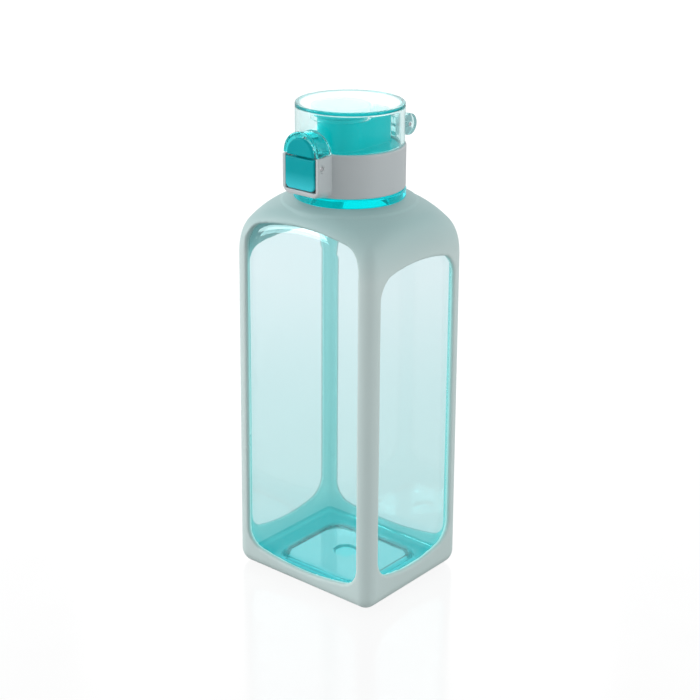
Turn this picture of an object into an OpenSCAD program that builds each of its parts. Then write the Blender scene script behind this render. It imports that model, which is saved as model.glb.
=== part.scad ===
// Squared drinking bottle: a clear body in a soft window sleeve, with a screw cap
// that carries a spout, a one-touch flip lid, its latch button and a lock slider.
// Millimetres. +Z is up. The origin is the centre of the foot. The latch faces -Y.
// Heights count from a datum that lies foot_drop above the foot; the whole is lifted
// by foot_drop at the end, so that the foot stands on z = 0.

/* [Body] */
// Width of the sleeved body along X
body_w = 78.4; // [70:0.1:90]
// Depth of the sleeved body along Y
body_d = 66.2; // [60:0.1:80]
// Radius of the upright corners
corner_r = 6.4; // [5:0.1:10]
// Radius of the round lower edges
foot_r = 7; // [5:0.1:7.6]
// Depth of the foot below the datum
foot_drop = 3.4; // [3:0.1:4]
// Height of the shoulder where it meets the neck
shoulder_h = 172.4; // [150:0.1:190]
// Radius of the arc that rounds the shoulder
shoulder_r = 50.9; // [45:0.1:60]
// Distance of that arc's centre from the axis
shoulder_offset = 10; // [5:0.5:14]
// Wall of the clear body
wall_t = 2; // [1.5:0.1:2.4]

/* [Sleeve] */
// Thickness of the soft sleeve
sleeve_t = 2.6; // [2:0.1:3]
// Margin of sleeve left beside each window
window_margin = 7.3; // [6:0.1:10]
// Lowest point of the windows in the wide sides
wide_low = 5; // [4:0.1:10]
// Highest point of the windows in the wide sides
wide_high = 165; // [120:0.5:166]
// Lowest point of the windows in the narrow sides
narrow_low = 8.4; // [6:0.1:12]
// Highest point of the windows in the narrow sides
narrow_high = 151; // [110:0.5:155]
// Corner radius of the windows
window_r = 7; // [5:0.5:9]

/* [Neck] */
// Inner radius of the neck
neck_bore_r = 17.2; // [16:0.1:17.4]
// Outer radius of the neck below the thread's crest
neck_r = 19.6; // [19:0.1:19.7]
// Height of the neck's rim
neck_h = 191.6; // [190.5:0.1:191.7]
// Radius of the ring under the cap
ring_r = 24.1; // [23:0.1:25]
// Rise of the thread in one turn
thread_pitch = 4; // [3.6:0.1:4.4]

/* [Cap] */
// Outer radius of the collar
collar_r = 23.8; // [23.5:0.1:24.2]
// Lower edge of the collar
collar_low = 177; // [176.9:0.1:177.5]
// Upper edge of the collar
collar_high = 195.5; // [195:0.1:195.6]
// Height of the closed lid's top
lid_high = 213.1; // [211:0.1:216]
// Outer radius of the lid
lid_r = 23.2; // [22.9:0.1:23.4]
// Wall of the lid
lid_t = 1.7; // [1.4:0.1:1.8]
// Outer radius of the spout
spout_r = 9.8; // [9:0.1:10.2]
// Height of the spout's rim
spout_high = 208.4; // [206:0.1:208.6]
// Distance of the spout from the axis, towards the latch
spout_shift = 6; // [5:0.1:6.5]

/* [Latch and hinge] */
// Half width of the latch housing
housing_hw = 10; // [9.8:0.1:10.3]
// Distance of the housing's front from the axis
housing_front = 31.6; // [31.4:0.1:31.8]
// Lower edge of the latch housing
housing_low = 179; // [178.8:0.1:179.3]
// Outer radius of the lid's arch over the lock slider
arch_r = 9.4; // [9.3:0.1:9.6]
// Radius of the lock slider's round top
dome_r = 7; // [6.6:0.1:7]
// Distance of the hinge axis from the bottle's axis
hinge_y = 28.4; // [28.3:0.1:29]
// Height of the hinge axis
hinge_z = 199.7; // [199.6:0.1:200.2]
// Radius of the hinge barrel
barrel_r = 4.7; // [4.4:0.1:4.8]
// Radius of the steel pins
pin_r = 1; // [0.9:0.05:1.1]

/* [Hidden] */
$fn = 96;

hx = body_w / 2;
hy = body_d / 2;
big = 400;
fit = 0.06;

// Sleeve and body
foot_t = 2.2;
base_z = foot_t - foot_drop;
body_corner = corner_r - sleeve_t;
shoulder_z = shoulder_h - sqrt(pow(shoulder_r, 2) - pow(24.5 - shoulder_offset, 2));
neck_root_r = 22.2;
ring_low = 172.9;
ring_high = 176.7;
plateau_hx = 22;
plateau_hy = 19;
plateau_up = 1.6;
dimple_r = 5.2;

// Thread
thread_low = 180;
thread_turns = 2;
thread_depth = 0.9;
thread_half = 0.85;
skirt_bore_r = 21;
nut_low = thread_low + thread_pitch / 2;
nut_turns = 1.5;

// Cap
skirt_r = 21.9;
deck_low = 192.6;
deck_high = 194.6;
spout_t = 1.8;
chamber_hw = spout_r - 0.1;
chamber_back = 17.4;
chamber_high = 206.6;
chamber_t = 1.8;
vent_y = 12;
vent_r = 1.5;
lid_low = 195.8;
carrier_r = 12.6;
carrier_low = 207.2;
seal_low = 208.7;

// Latch
draft = 0.14;
cavity_hw = 8.1;
cavity_low = 181;
cavity_back = 24.4;
pivot_y = -28.8;
pivot_z = 191;
button_hw = 7.85;
button_low = 181.5;
button_top = 194.8;
plate_t = 1.1;
proud = 0.5;
pin_end = 9.3;
boss_hw = 4.5;
boss_r = 2;
hook_hw = 3;
hook_top = 198.8;
arch_z = 196.2;
arch_t = 1.2;
catch_high = 197.2;
catch_tip = 26.7;

// Hinge
lug_hw = 5.6;
slot_hw = 2.6;
knuckle_in = 6;
knuckle_out = 10;

// Rounded rectangle with half sizes ax, ay and corner radius r
module rounded(ax, ay, r) {
    square([2 * ax, 2 * (ay - r)], center = true);
    square([2 * (ax - r), 2 * ay], center = true);
    for (sx = [-1, 1], sy = [-1, 1])
        translate([sx * (ax - r), sy * (ay - r)]) circle(r);
}

// Solid of revolution that rounds the shoulder, kept inset below the outer one
module shoulder_limit(inset) {
    r = shoulder_r - inset;
    rotate_extrude()
        intersection() {
            translate([0, -50]) square([100, 300]);
            union() {
                translate([shoulder_offset, shoulder_z]) circle(r);
                translate([0, -10]) square([shoulder_offset, shoulder_z + r + 10]);
                translate([0, -10]) square([shoulder_offset + r, shoulder_z + 10]);
            }
        }
}

// The squared form, inset all round, standing on z = low with round lower edges
module squared_form(inset, low, r) {
    lower_r = foot_r - inset;
    intersection() {
        translate([0, 0, low])
            linear_extrude(200)
                rounded(hx - inset, hy - inset, r);
        rotate([90, 0, 0])
            translate([0, low + 100, -big / 2])
                linear_extrude(big)
                    rounded(hx - inset, 100, lower_r);
        rotate([90, 0, 90])
            translate([0, low + 100, -big / 2])
                linear_extrude(big)
                    rounded(hy - inset, 100, lower_r);
        shoulder_limit(inset);
    }
}

// Window outline, x across and y up: round corners, a bowed top and a bowed foot
module window(hw, low, high, bow_top, bow_foot) {
    r = window_r;
    zt = high - bow_top;
    zf = low + bow_foot;
    ct = zt + sqrt(pow(bow_top - r, 2) - pow(hw - r, 2));
    cf = zf - sqrt(pow(bow_foot - r, 2) - pow(hw - r, 2));
    kt = bow_top / (bow_top - r);
    kf = bow_foot / (bow_foot - r);
    tx = (hw - r) * kt;
    ty = zt + (ct - zt) * kt;
    fx = (hw - r) * kf;
    fy = zf + (cf - zf) * kf;
    polygon([[-tx, ty], [tx, ty], [hw, ct], [hw, cf], [fx, fy], [-fx, fy], [-hw, cf], [-hw, ct]]);
    for (s = [-1, 1]) {
        translate([s * (hw - r), ct]) circle(r);
        translate([s * (hw - r), cf]) circle(r);
    }
    intersection() {
        translate([0, zt]) circle(bow_top, $fn = 360);
        translate([-tx, ty - 1]) square([2 * tx, 20]);
    }
    intersection() {
        translate([0, zf]) circle(bow_foot, $fn = 360);
        translate([-fx, fy - 19]) square([2 * fx, 20]);
    }
}

// Upright tube between radii r0 and r1
module tube(r0, r1, low, high) {
    translate([0, 0, low])
        difference() {
            cylinder(r = r1, h = high - low);
            translate([0, 0, -1]) cylinder(r = r0, h = high - low + 2);
        }
}

// Bar along X centred on x = 0 at height z and depth y
module cross_rod(r, half, y, z) {
    translate([-half, y, z]) rotate([0, 90, 0]) cylinder(r = r, h = 2 * half);
}

// Block between two corners
module block(a, b) {
    translate(a) cube(b - a);
}

// Helical ridge from root radius r0 to crest radius r1, inwards or outwards.
// It is half as wide at its crest as at its root, and fades out at both ends.
module ridge(r0, r1, low, turns, half) {
    steps = 24 * turns;
    way = r1 > r0 ? 1 : -1;
    corners = [[r0, -half * way], [r1, -half * way / 2], [r1, half * way / 2], [r0, half * way]];
    rings = [for (i = [0:steps])
        let (a = 360 * i / 24, taper = min(1, i / 6, (steps - i) / 6))
        [for (k = corners)
            let (r = r0 + (k[0] - r0) * max(taper, 0.05))
            [r * cos(a), r * sin(a), low + thread_pitch * i / 24 + k[1]]]];
    points = [for (ring = rings) for (p = ring) p];
    sides = [for (i = [0:steps - 1]) for (k = [0:3])
        let (a = 4 * i + k, b = 4 * i + (k + 1) % 4)
        each [[a, b, b + 4], [a, b + 4, a + 4]]];
    ends = [[3, 2, 1], [3, 1, 0],
            [4 * steps, 4 * steps + 1, 4 * steps + 2], [4 * steps, 4 * steps + 2, 4 * steps + 3]];
    polyhedron(points, concat(sides, ends));
}

// Coil of round wire along Z from z = 0 to z = length
module coil(r, wire, length, turns) {
    sides = 6;
    per_turn = 16;
    steps = per_turn * turns;
    rise = length - 2 * wire;
    rings = [for (i = [0:steps])
        let (a = 360 * i / per_turn)
        [for (k = [0:sides - 1])
            let (b = 360 * k / sides, q = r + wire * cos(b))
            [q * cos(a), q * sin(a), wire + rise * i / steps + wire * sin(b)]]];
    points = [for (ring = rings) for (p = ring) p];
    sheath = [for (i = [0:steps - 1]) for (k = [0:sides - 1])
        let (a = sides * i + k, b = sides * i + (k + 1) % sides)
        each [[a, b, b + sides], [a, b + sides, a + sides]]];
    caps = [[for (k = [sides - 1:-1:0]) k],
            [for (k = [0:sides - 1]) sides * steps + k]];
    polyhedron(points, concat(sheath, caps));
}

module bottle_body() {
    color([0.62, 0.9, 0.9, 0.45])
        difference() {
            union() {
                squared_form(sleeve_t, base_z, body_corner);
                cylinder(r = neck_root_r, h = ring_low + 0.1);
                translate([0, 0, ring_low]) cylinder(r = ring_r, h = ring_high - ring_low);
                cylinder(r = neck_r, h = neck_h);
                ridge(neck_r - 0.4, neck_r + thread_depth, thread_low, thread_turns, thread_half);
            }
            // Hollow above the floor
            intersection() {
                squared_form(sleeve_t + wall_t, base_z + wall_t, body_corner - wall_t);
                translate([0, 0, -1]) cylinder(r = big, h = ring_low - 3);
            }
            translate([0, 0, ring_low - 20]) cylinder(r = neck_bore_r, h = big);
            // The neck root and neck stand above the floor only
            translate([-big, -big, base_z - 10]) cube([2 * big, 2 * big, 10]);
            // Push-up under the foot
            translate([0, 0, base_z - 1])
                linear_extrude(plateau_up + 1)
                    rounded(plateau_hx, plateau_hy, 6);
        }
    // Raised floor over the push-up, with a dimple at its centre
    color([0.62, 0.9, 0.9, 0.45])
        difference() {
            translate([0, 0, base_z + plateau_up])
                linear_extrude(wall_t)
                    rounded(plateau_hx + wall_t, plateau_hy + wall_t, 8);
            translate([0, 0, base_z + plateau_up + 1]) cylinder(r = dimple_r, h = wall_t);
        }
}

module sleeve() {
    wide_hw = hx - window_margin;
    narrow_hw = hy - window_margin;
    color([0.72, 0.8, 0.79])
        difference() {
            squared_form(0, -foot_drop, corner_r);
            squared_form(sleeve_t, base_z, body_corner);
            translate([0, 0, 1]) cylinder(r = neck_root_r, h = big);
            translate([0, 0, shoulder_h + 0.2]) cylinder(r = big, h = 50);
            // Opening under the foot
            translate([0, 0, -foot_drop - 1])
                linear_extrude(10)
                    rounded(plateau_hx + 3, plateau_hy + 3, 8);
            // Windows in the wide sides, then in the narrow sides
            translate([0, big / 2, 0])
                rotate([90, 0, 0])
                    linear_extrude(big)
                        window(wide_hw, wide_low, wide_high, 95, 130);
            translate([-big / 2, 0, 0])
                rotate([90, 0, 90])
                    linear_extrude(big)
                        window(narrow_hw, narrow_low, narrow_high, 80, 75);
        }
}

module neck_gasket() {
    color([0.93, 0.95, 0.95])
        tube(neck_bore_r + 0.2, neck_r + 0.8, neck_h + 0.05, deck_low - 0.05);
}

module cap_collar() {
    color([0.68, 0.71, 0.73])
        difference() {
            union() {
                translate([0, 0, collar_low]) cylinder(r = collar_r, h = collar_high - collar_low);
                // Latch housing: sides drawn in and underside drawn down towards the ring
                intersection() {
                    translate([0, 0, collar_low])
                        linear_extrude(collar_high - collar_low)
                            polygon([[-housing_hw, -housing_front], [housing_hw, -housing_front],
                                     [housing_hw - draft * (housing_front - 18), -18],
                                     [draft * (housing_front - 18) - housing_hw, -18]]);
                    translate([0, -housing_front, housing_low])
                        rotate([78, 0, 0])
                            translate([0, 15, -20])
                                linear_extrude(25) rounded(housing_hw, 15, 3.6);
                }
                // Hinge lug
                intersection() {
                    union() {
                        cross_rod(barrel_r, lug_hw, hinge_y, hinge_z);
                        rotate([90, 0, 90])
                            translate([0, 0, -lug_hw])
                                linear_extrude(2 * lug_hw)
                                    polygon([[21, 184], [24, 184], [28.6, 190], [hinge_y + 2, hinge_z - 4],
                                             [hinge_y, hinge_z], [hinge_y - 4, hinge_z - 2.2],
                                             [23.8, collar_high], [21, collar_high]]);
                    }
                    block([-lug_hw, 20, 180], [lug_hw, 40, 210]);
                }
            }
            // Seat of the spout insert
            translate([0, 0, collar_low - 1]) cylinder(r = skirt_r, h = 30);
            // Cavity of the latch
            difference() {
                block([-cavity_hw, -housing_front - 1, cavity_low], [cavity_hw, -cavity_back, 210]);
                for (s = [-1, 1])
                    block([s * 7.6 - 0.7, -30.3, 193.7], [s * 7.6 + 0.7, -29.7, 195.2]);
            }
            cross_rod(pin_r, housing_hw + 1, pivot_y, pivot_z);
            for (s = [-1, 1])
                translate([s * (pin_end + 1), 0, 0]) cross_rod(1.6, 1, pivot_y, pivot_z);
            // Slot of the lid spring with a step for its low leg, and the hinge bore
            block([-slot_hw, 25.2, 195], [slot_hw, 40, 210]);
            block([-slot_hw, collar_r + 0.1, 196.7], [slot_hw, 26, 210]);
            cross_rod(pin_r, lug_hw + 1, hinge_y, hinge_z);
        }
}

module chamber_form(inset, low, high) {
    front = -spout_shift - 2 + inset;
    back = chamber_back - inset;
    translate([0, (front + back) / 2, low])
        linear_extrude(high - low)
            rounded(chamber_hw - inset, (back - front) / 2, 2.4 - inset / 2);
}

module spout_insert() {
    color([0.1, 0.66, 0.66, 0.8])
        difference() {
            union() {
                translate([0, 0, collar_low + 0.6]) cylinder(r = skirt_r, h = deck_high - collar_low - 0.6);
                translate([0, -spout_shift, deck_low]) cylinder(r = spout_r, h = spout_high - deck_low);
                // Straight-sided air chamber behind the spout
                chamber_form(0, deck_low, chamber_high);
            }
            difference() {
                translate([0, 0, collar_low - 1]) cylinder(r = skirt_bore_r, h = deck_low - collar_low + 1);
                ridge(skirt_bore_r + 0.4, skirt_bore_r - thread_depth, nut_low, nut_turns, thread_half);
            }
            translate([0, -spout_shift, deck_low - 1]) cylinder(r = spout_r - spout_t, h = 30);
            difference() {
                chamber_form(chamber_t, deck_low - 1, chamber_high - chamber_t);
                translate([0, -spout_shift, deck_low - 2]) cylinder(r = spout_r, h = 30);
            }
            translate([0, vent_y, chamber_high - 3]) cylinder(r = vent_r, h = 5);
        }
}

module vent_valve() {
    color([0.9, 0.93, 0.93])
        translate([0, vent_y, 0]) {
            translate([0, 0, chamber_high]) cylinder(r = 2.2, h = 0.8);
            translate([0, 0, chamber_high - chamber_t - 0.9]) cylinder(r = vent_r, h = chamber_t + 1);
            translate([0, 0, chamber_high - chamber_t - 1.3]) cylinder(r = 2.1, h = 1.3);
        }
}

module hinge_pin() {
    color([0.75, 0.76, 0.78]) cross_rod(pin_r, knuckle_out, hinge_y, hinge_z);
}

module latch_pin() {
    color([0.75, 0.76, 0.78]) cross_rod(pin_r, pin_end, pivot_y, pivot_z);
}

// Torsion spring: its low leg rests on the step and its high leg on the lid's wall
module lid_spring() {
    coil_r = 2.6;
    wire = 0.35;
    reach = slot_hw - 0.2;
    color([0.8, 0.81, 0.83]) {
        translate([-reach, hinge_y, hinge_z])
            rotate([0, 90, 0])
                coil(coil_r, wire, 2 * reach, 4.5);
        translate([wire - reach, hinge_y, hinge_z - coil_r])
            rotate([90, 0, 0]) cylinder(r = wire, h = 4.2, $fn = 6);
        translate([reach - wire, hinge_y, hinge_z + coil_r])
            rotate([90, 0, 0]) cylinder(r = wire, h = hinge_y - lid_r, $fn = 6);
    }
}

module latch_spring() {
    color([0.8, 0.81, 0.83])
        translate([0, -cavity_back - 0.05, 185.6])
            rotate([90, 0, 0])
                coil(2, 0.3, housing_front - plate_t - cavity_back - 0.1, 5);
}

// Half cone between two distances in front of the axis, drawn in towards the ring
module arch_form(inset, near, far, low) {
    wide = arch_r - inset + draft * (far - housing_front);
    intersection() {
        translate([0, -near, arch_z])
            rotate([90, 0, 0]) cylinder(r1 = wide - draft * (far - near), r2 = wide, h = far - near);
        block([-30, -far - 1, low], [30, -near + 1, low + 30]);
    }
}

module flip_lid() {
    color([0.7, 0.92, 0.93, 0.4])
        difference() {
            union() {
                difference() {
                    union() {
                        translate([0, 0, lid_low]) cylinder(r = lid_r, h = lid_high - lid_low);
                        // Arch over the lock slider
                        arch_form(0, 20, housing_front - 0.1, lid_low);
                        // Arms and knuckles of the hinge
                        for (s = [-1, 1])
                            translate([s * (knuckle_in + knuckle_out) / 2, 0, 0]) {
                                cross_rod(barrel_r, (knuckle_out - knuckle_in) / 2, hinge_y, hinge_z);
                                block([-(knuckle_out - knuckle_in) / 2, 19, lid_low],
                                      [(knuckle_out - knuckle_in) / 2, hinge_y - 2.4, hinge_z + 4.2]);
                            }
                    }
                    // Room under the arch, from the wall out
                    arch_form(arch_t, lid_r - 2.2, housing_front + 2, lid_low - 1);
                }
                // Wall behind the arch, and the catch that the button holds
                tube(lid_r - lid_t, lid_r, lid_low, lid_high);
                block([-hook_hw, -catch_tip, lid_low + 0.2], [hook_hw, -lid_r + 1.2, catch_high]);
            }
            translate([0, 0, lid_low - 1]) cylinder(r = lid_r - lid_t, h = lid_high - lid_low + 1 - lid_t);
            cross_rod(pin_r + fit, knuckle_out + 1, hinge_y, hinge_z);
        }
}

module seal_carrier() {
    top = lid_high - lid_t;
    color([0.75, 0.93, 0.94, 0.5])
        translate([0, -spout_shift, 0]) {
            tube(carrier_r - 1.2, carrier_r, carrier_low, top);
            translate([0, 0, top - 1]) cylinder(r = carrier_r - 0.6, h = 1);
        }
}

module spout_seal() {
    top = lid_high - lid_t - 1;
    color([0.92, 0.95, 0.95])
        translate([0, -spout_shift, 0]) {
            translate([0, 0, seal_low]) cylinder(r = carrier_r - 1.4, h = top - seal_low);
            translate([0, 0, seal_low - 1.6]) cylinder(r = spout_r - spout_t - 0.7, h = 2);
        }
}

module latch_button() {
    front = -housing_front - proud;
    color([0.12, 0.6, 0.64])
        difference() {
            union() {
                // Front plate with round lower corners
                intersection() {
                    block([-button_hw, front, button_low], [button_hw, plate_t - housing_front, button_top]);
                    rotate([90, 0, 0])
                        linear_extrude(40)
                            translate([0, button_low + 15]) rounded(button_hw, 15, 2.4);
                }
                // Boss round the pin, with its rib to the plate
                cross_rod(boss_r, boss_hw, pivot_y, pivot_z);
                block([-boss_hw, front + 1, 188.8], [boss_hw, pivot_y, 192.4]);
                // Arm and nose that hold the lid's catch
                block([-hook_hw, -28.4, 191], [hook_hw, -27.2, hook_top]);
                block([-hook_hw, -28.4, hook_top - 1.2], [hook_hw, -27.05, hook_top]);
            }
            cross_rod(pin_r + fit, boss_hw + 1, pivot_y, pivot_z);
        }
}

module lock_slider() {
    front = -housing_front - proud;
    base = 195.6;
    color([0.2, 0.62, 0.64])
        union() {
            // Round-topped plate
            intersection() {
                rotate([90, 0, 0])
                    translate([0, 196, 0])
                        linear_extrude(40)
                            union() {
                                circle(dome_r);
                                translate([-dome_r, -2]) square([2 * dome_r, 2]);
                            }
                block([-10, front, base], [10, front + 1.6, 210]);
            }
            // Bridge over the button's plate, stem, crossbar, legs and feet
            block([-4, front + 1, 196.4], [4, -28.7, 198]);
            block([-4, -29.4, 193.4], [4, -28.7, 198]);
            block([-6.6, -29.4, 193.4], [6.6, -28.7, 194.6]);
            for (s = [-1, 1]) {
                block([s * 6.05 - 0.55, -29.4, 192.35], [s * 6.05 + 0.55, -28.2, 194.6]);
                block([s * 7 - 0.5, -28.9, 192.35], [s * 7 + 0.5, -28.2, 193.45]);
            }
        }
}

translate([0, 0, foot_drop]) {
    bottle_body();
    sleeve();
    neck_gasket();
    cap_collar();
    spout_insert();
    vent_valve();
    hinge_pin();
    lid_spring();
    latch_pin();
    latch_spring();
    flip_lid();
    seal_carrier();
    spout_seal();
    latch_button();
    lock_slider();
}
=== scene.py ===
# Looks of the squared drinking bottle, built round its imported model.
# Sizes in the dictionaries are millimetres above a datum; meshes are written in metres.
import bpy
import math
import numpy as np
from mathutils import Matrix, Vector


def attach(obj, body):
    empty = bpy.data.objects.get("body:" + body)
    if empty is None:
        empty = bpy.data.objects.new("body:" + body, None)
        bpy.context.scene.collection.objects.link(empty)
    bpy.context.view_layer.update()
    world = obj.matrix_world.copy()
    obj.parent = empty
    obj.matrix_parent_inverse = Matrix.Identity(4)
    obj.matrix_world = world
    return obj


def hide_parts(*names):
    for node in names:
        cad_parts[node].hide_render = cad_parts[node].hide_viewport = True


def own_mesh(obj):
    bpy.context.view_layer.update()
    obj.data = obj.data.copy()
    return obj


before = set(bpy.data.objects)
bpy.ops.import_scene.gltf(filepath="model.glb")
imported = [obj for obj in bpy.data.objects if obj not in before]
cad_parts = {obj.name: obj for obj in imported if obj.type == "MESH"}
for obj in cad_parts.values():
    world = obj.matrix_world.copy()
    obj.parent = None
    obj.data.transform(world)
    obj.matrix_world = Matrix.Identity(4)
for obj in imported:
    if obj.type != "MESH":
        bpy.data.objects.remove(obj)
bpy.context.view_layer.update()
mm = 0.001
lift = 3.4  # height of the datum above the foot
print("frame loaded:", len(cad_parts), "nodes")


class Sock:
    # one output socket, so that node maths reads as plain expressions
    def __init__(self, tree, socket):
        self.tree = tree
        self.socket = socket

    def calc(self, operation, *values):
        return self.tree.calc(operation, *values)

    def __add__(self, other):
        return self.calc("ADD", self, other)

    __radd__ = __add__

    def __sub__(self, other):
        return self.calc("SUBTRACT", self, other)

    def __rsub__(self, other):
        return self.calc("SUBTRACT", other, self)

    def __mul__(self, other):
        return self.calc("MULTIPLY", self, other)

    __rmul__ = __mul__

    def share(self, start, over):
        # 0 up to start, 1 from start + over onwards
        risen = (self - start) * (1 / over)
        return self.calc("MINIMUM", self.calc("MAXIMUM", risen, 0.0), 1.0)

    def other(self, name):
        return Sock(self.tree, self.socket.node.outputs[name])


class Tree:
    # a shader or geometry tree; add() makes a node, sets it and feeds its sockets
    def __init__(self, tree):
        self.tree = tree

    def add(self, kind, settings=None, *values, **named):
        node = self.tree.nodes.new(kind)
        for key, value in (settings or {}).items():
            if key == "stops":
                self.ramp(node.color_ramp, value)
            else:
                setattr(node, key, value)
        live = [s for s in node.inputs if s.enabled]
        for socket, value in zip(live, values):
            self.feed(socket, value)
        for key, value in named.items():
            self.feed(next(s for s in live if s.name == key.replace("_", " ").strip()), value)
        outs = [s for s in node.outputs if s.enabled]
        return Sock(self, outs[0])

    def feed(self, socket, value):
        if isinstance(value, Sock):
            self.tree.links.new(value.socket, socket)
        else:
            socket.default_value = value

    def ramp(self, ramp, stops):
        while len(ramp.elements) < len(stops):
            ramp.elements.new(0.5)
        for element, (place, shade) in zip(ramp.elements, stops):
            element.position = place
            element.color = (*shade, 1)

    def calc(self, operation, *values):
        return self.add("ShaderNodeMath", {"operation": operation}, *values)

    def blend(self, share, low, high):
        low, high = [(*c, 1) if isinstance(c, tuple) else c for c in (low, high)]
        return self.add("ShaderNodeMix", {"data_type": "RGBA"}, share, low, high)

    def noise(self, where, scale, detail=2.0, rough=0.5):
        return self.add("ShaderNodeTexNoise", None, Vector=where, Scale=scale, Detail=detail,
                        Roughness=rough)

    def bump(self, height, strength, distance):
        return self.add("ShaderNodeBump", None, Strength=strength, Distance=distance, Height=height)

    def millimetres(self, where, axis):
        # one coordinate of the piece, in the units of the dictionaries
        return self.add("ShaderNodeSeparateXYZ", None, where).other(axis) * (1 / mm)


def newFinish(name):
    # an empty material, its tree and the Object coordinates that its patterns use
    finish = bpy.data.materials.new(name)
    finish.use_nodes = True
    finish.node_tree.nodes.clear()
    tree = Tree(finish.node_tree)
    where = tree.add("ShaderNodeTexCoord").other("Object")
    return finish, tree, where


def principled(tree, settings, **linked):
    # Principled shader; plain settings go on its own sockets, varying ones are linked
    shader = tree.add("ShaderNodeBsdfPrincipled")
    node = shader.socket.node
    for key, value in settings.items():
        node.inputs[key].default_value = value
    for key, value in linked.items():
        tree.feed(node.inputs[key.replace("_", " ")], value)
    return shader


def output(tree, surface, volume=None):
    node = tree.tree.nodes.new("ShaderNodeOutputMaterial")
    tree.feed(node.inputs["Surface"], surface)
    if volume is not None:
        tree.feed(node.inputs["Volume"], volume)


def satinFinish(name, look):
    # opaque moulded plastic or silicone: mottled colour, fine grain, soft gloss
    finish, tree, where = newFinish(name)
    cloud = tree.noise(where, look["cloudScale"], detail=3.0)
    grain = tree.noise(where, look["grainScale"], rough=0.6)
    colour = tree.blend(cloud, look["dark"], look["light"])
    varied = {}
    if "inside" in look:
        # painted shade darker towards the shoulder, and painted shade with a painted glow where the
        # wall's inner face shows
        up = tree.millimetres(where, "Z") - lift
        colour = tree.blend(up.share(look["tintAbove"], look["tintOver"]), colour, look["tint"])
        # painted shade: a darker teal on the wall's inner face, from how deep each point lies in the wall
        depth = tree.add("ShaderNodeAttribute", {"attribute_name": "depth"}).other("Fac")
        fade = 1.0 - up.share(look["insideTop"], look["insideFade"])
        share = depth.share(look["insideFrom"], look["insideOver"]) * fade
        colour = tree.blend(share, colour, look["inside"])
        # painted glow: emission on the wall's inner face where it shows through the windows
        varied["Emission_Color"] = tree.blend(share * share, (0, 0, 0), look["insidePaintedGlow"])
    if "lower" in look:
        # painted light: lighter towards the foot of the piece, below lowerFrom
        up = tree.millimetres(where, "Z") - lift
        colour = tree.blend(up.share(look["lowerFrom"], look["lowerOver"]), look["lower"], colour)
    rough = look["rough"] + (grain - 0.5) * look["roughSwing"]
    normal = tree.bump(grain, look["bump"], look["bumpDepth"] * mm)
    output(tree, principled(tree, look["shader"], Base_Color=colour, Roughness=rough,
                            Normal=normal, **varied))
    return finish


def clearFinish(name, look):
    # clear moulded plastic: the tint comes from how far light travels inside it
    finish, tree, where = newFinish(name)
    wave = tree.noise(where, look["waveScale"], detail=1.0)
    haze = tree.noise(where, look["hazeScale"], detail=3.0)
    up = tree.millimetres(where, "Z") - lift
    low, high = look["stops"][0][0], look["stops"][-1][0]
    stops = [((z - low) / (high - low), shade) for z, shade in look["stops"]]
    colour = tree.add("ShaderNodeValToRGB", {"stops": stops}, up.share(low, high - low))
    settings = {"Transmission Weight": 1.0, "IOR": look["ior"], "Specular Tint": look["glossTint"]}
    varied = {"Roughness": look["rough"] + haze * look["roughSwing"],
              "Normal": tree.bump(wave, look["bump"], look["bumpDepth"] * mm)}
    if "fringe" in look:
        # deeper in tone along the front rim
        forward = 0.0 - tree.millimetres(where, "Y")
        colour = tree.blend(forward.share(look["fringeFrom"], look["fringeOver"]), colour, look["fringe"])
    if "glow" in look:
        # painted glow standing in for light in the plastic, within glowHalf of glowMiddle
        away = tree.calc("ABSOLUTE", up - look["glowMiddle"])
        settings["Emission Strength"] = look["glowStrength"]
        varied["Emission_Color"] = tree.blend(away.share(look["glowHalf"], look["glowFade"]),
                                              look["glow"], (0, 0, 0))
    shader = principled(tree, settings, Base_Color=colour, **varied)
    passes = tree.add("ShaderNodeBsdfTransparent", None, (*look["shadowTint"], 1))
    path = tree.add("ShaderNodeLightPath")
    soft = tree.calc("MAXIMUM", path.other("Is Shadow Ray"), path.other("Is Diffuse Ray"))
    mixed = tree.add("ShaderNodeMixShader", None, soft, shader, passes)
    depth = tree.add("ShaderNodeVolumeAbsorption", None, Color=(*look["tint"], 1),
                     Density=look["density"])
    output(tree, mixed, depth)
    return finish


def steelFinish(name, look):
    # drawn wire and bar: fine lines along the metal
    finish, tree, where = newFinish(name)
    drawn = tree.add("ShaderNodeMapping", None, Vector=where, Scale=look["stretch"])
    lines = tree.noise(drawn, look["lineScale"], detail=4.0, rough=0.6)
    colour = tree.blend(lines, look["dark"], look["light"])
    rough = look["rough"] + lines * look["roughSwing"]
    normal = tree.bump(lines, look["bump"], look["bumpDepth"] * mm)
    output(tree, principled(tree, {"Metallic": 1.0}, Base_Color=colour, Roughness=rough, Normal=normal))
    return finish


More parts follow.
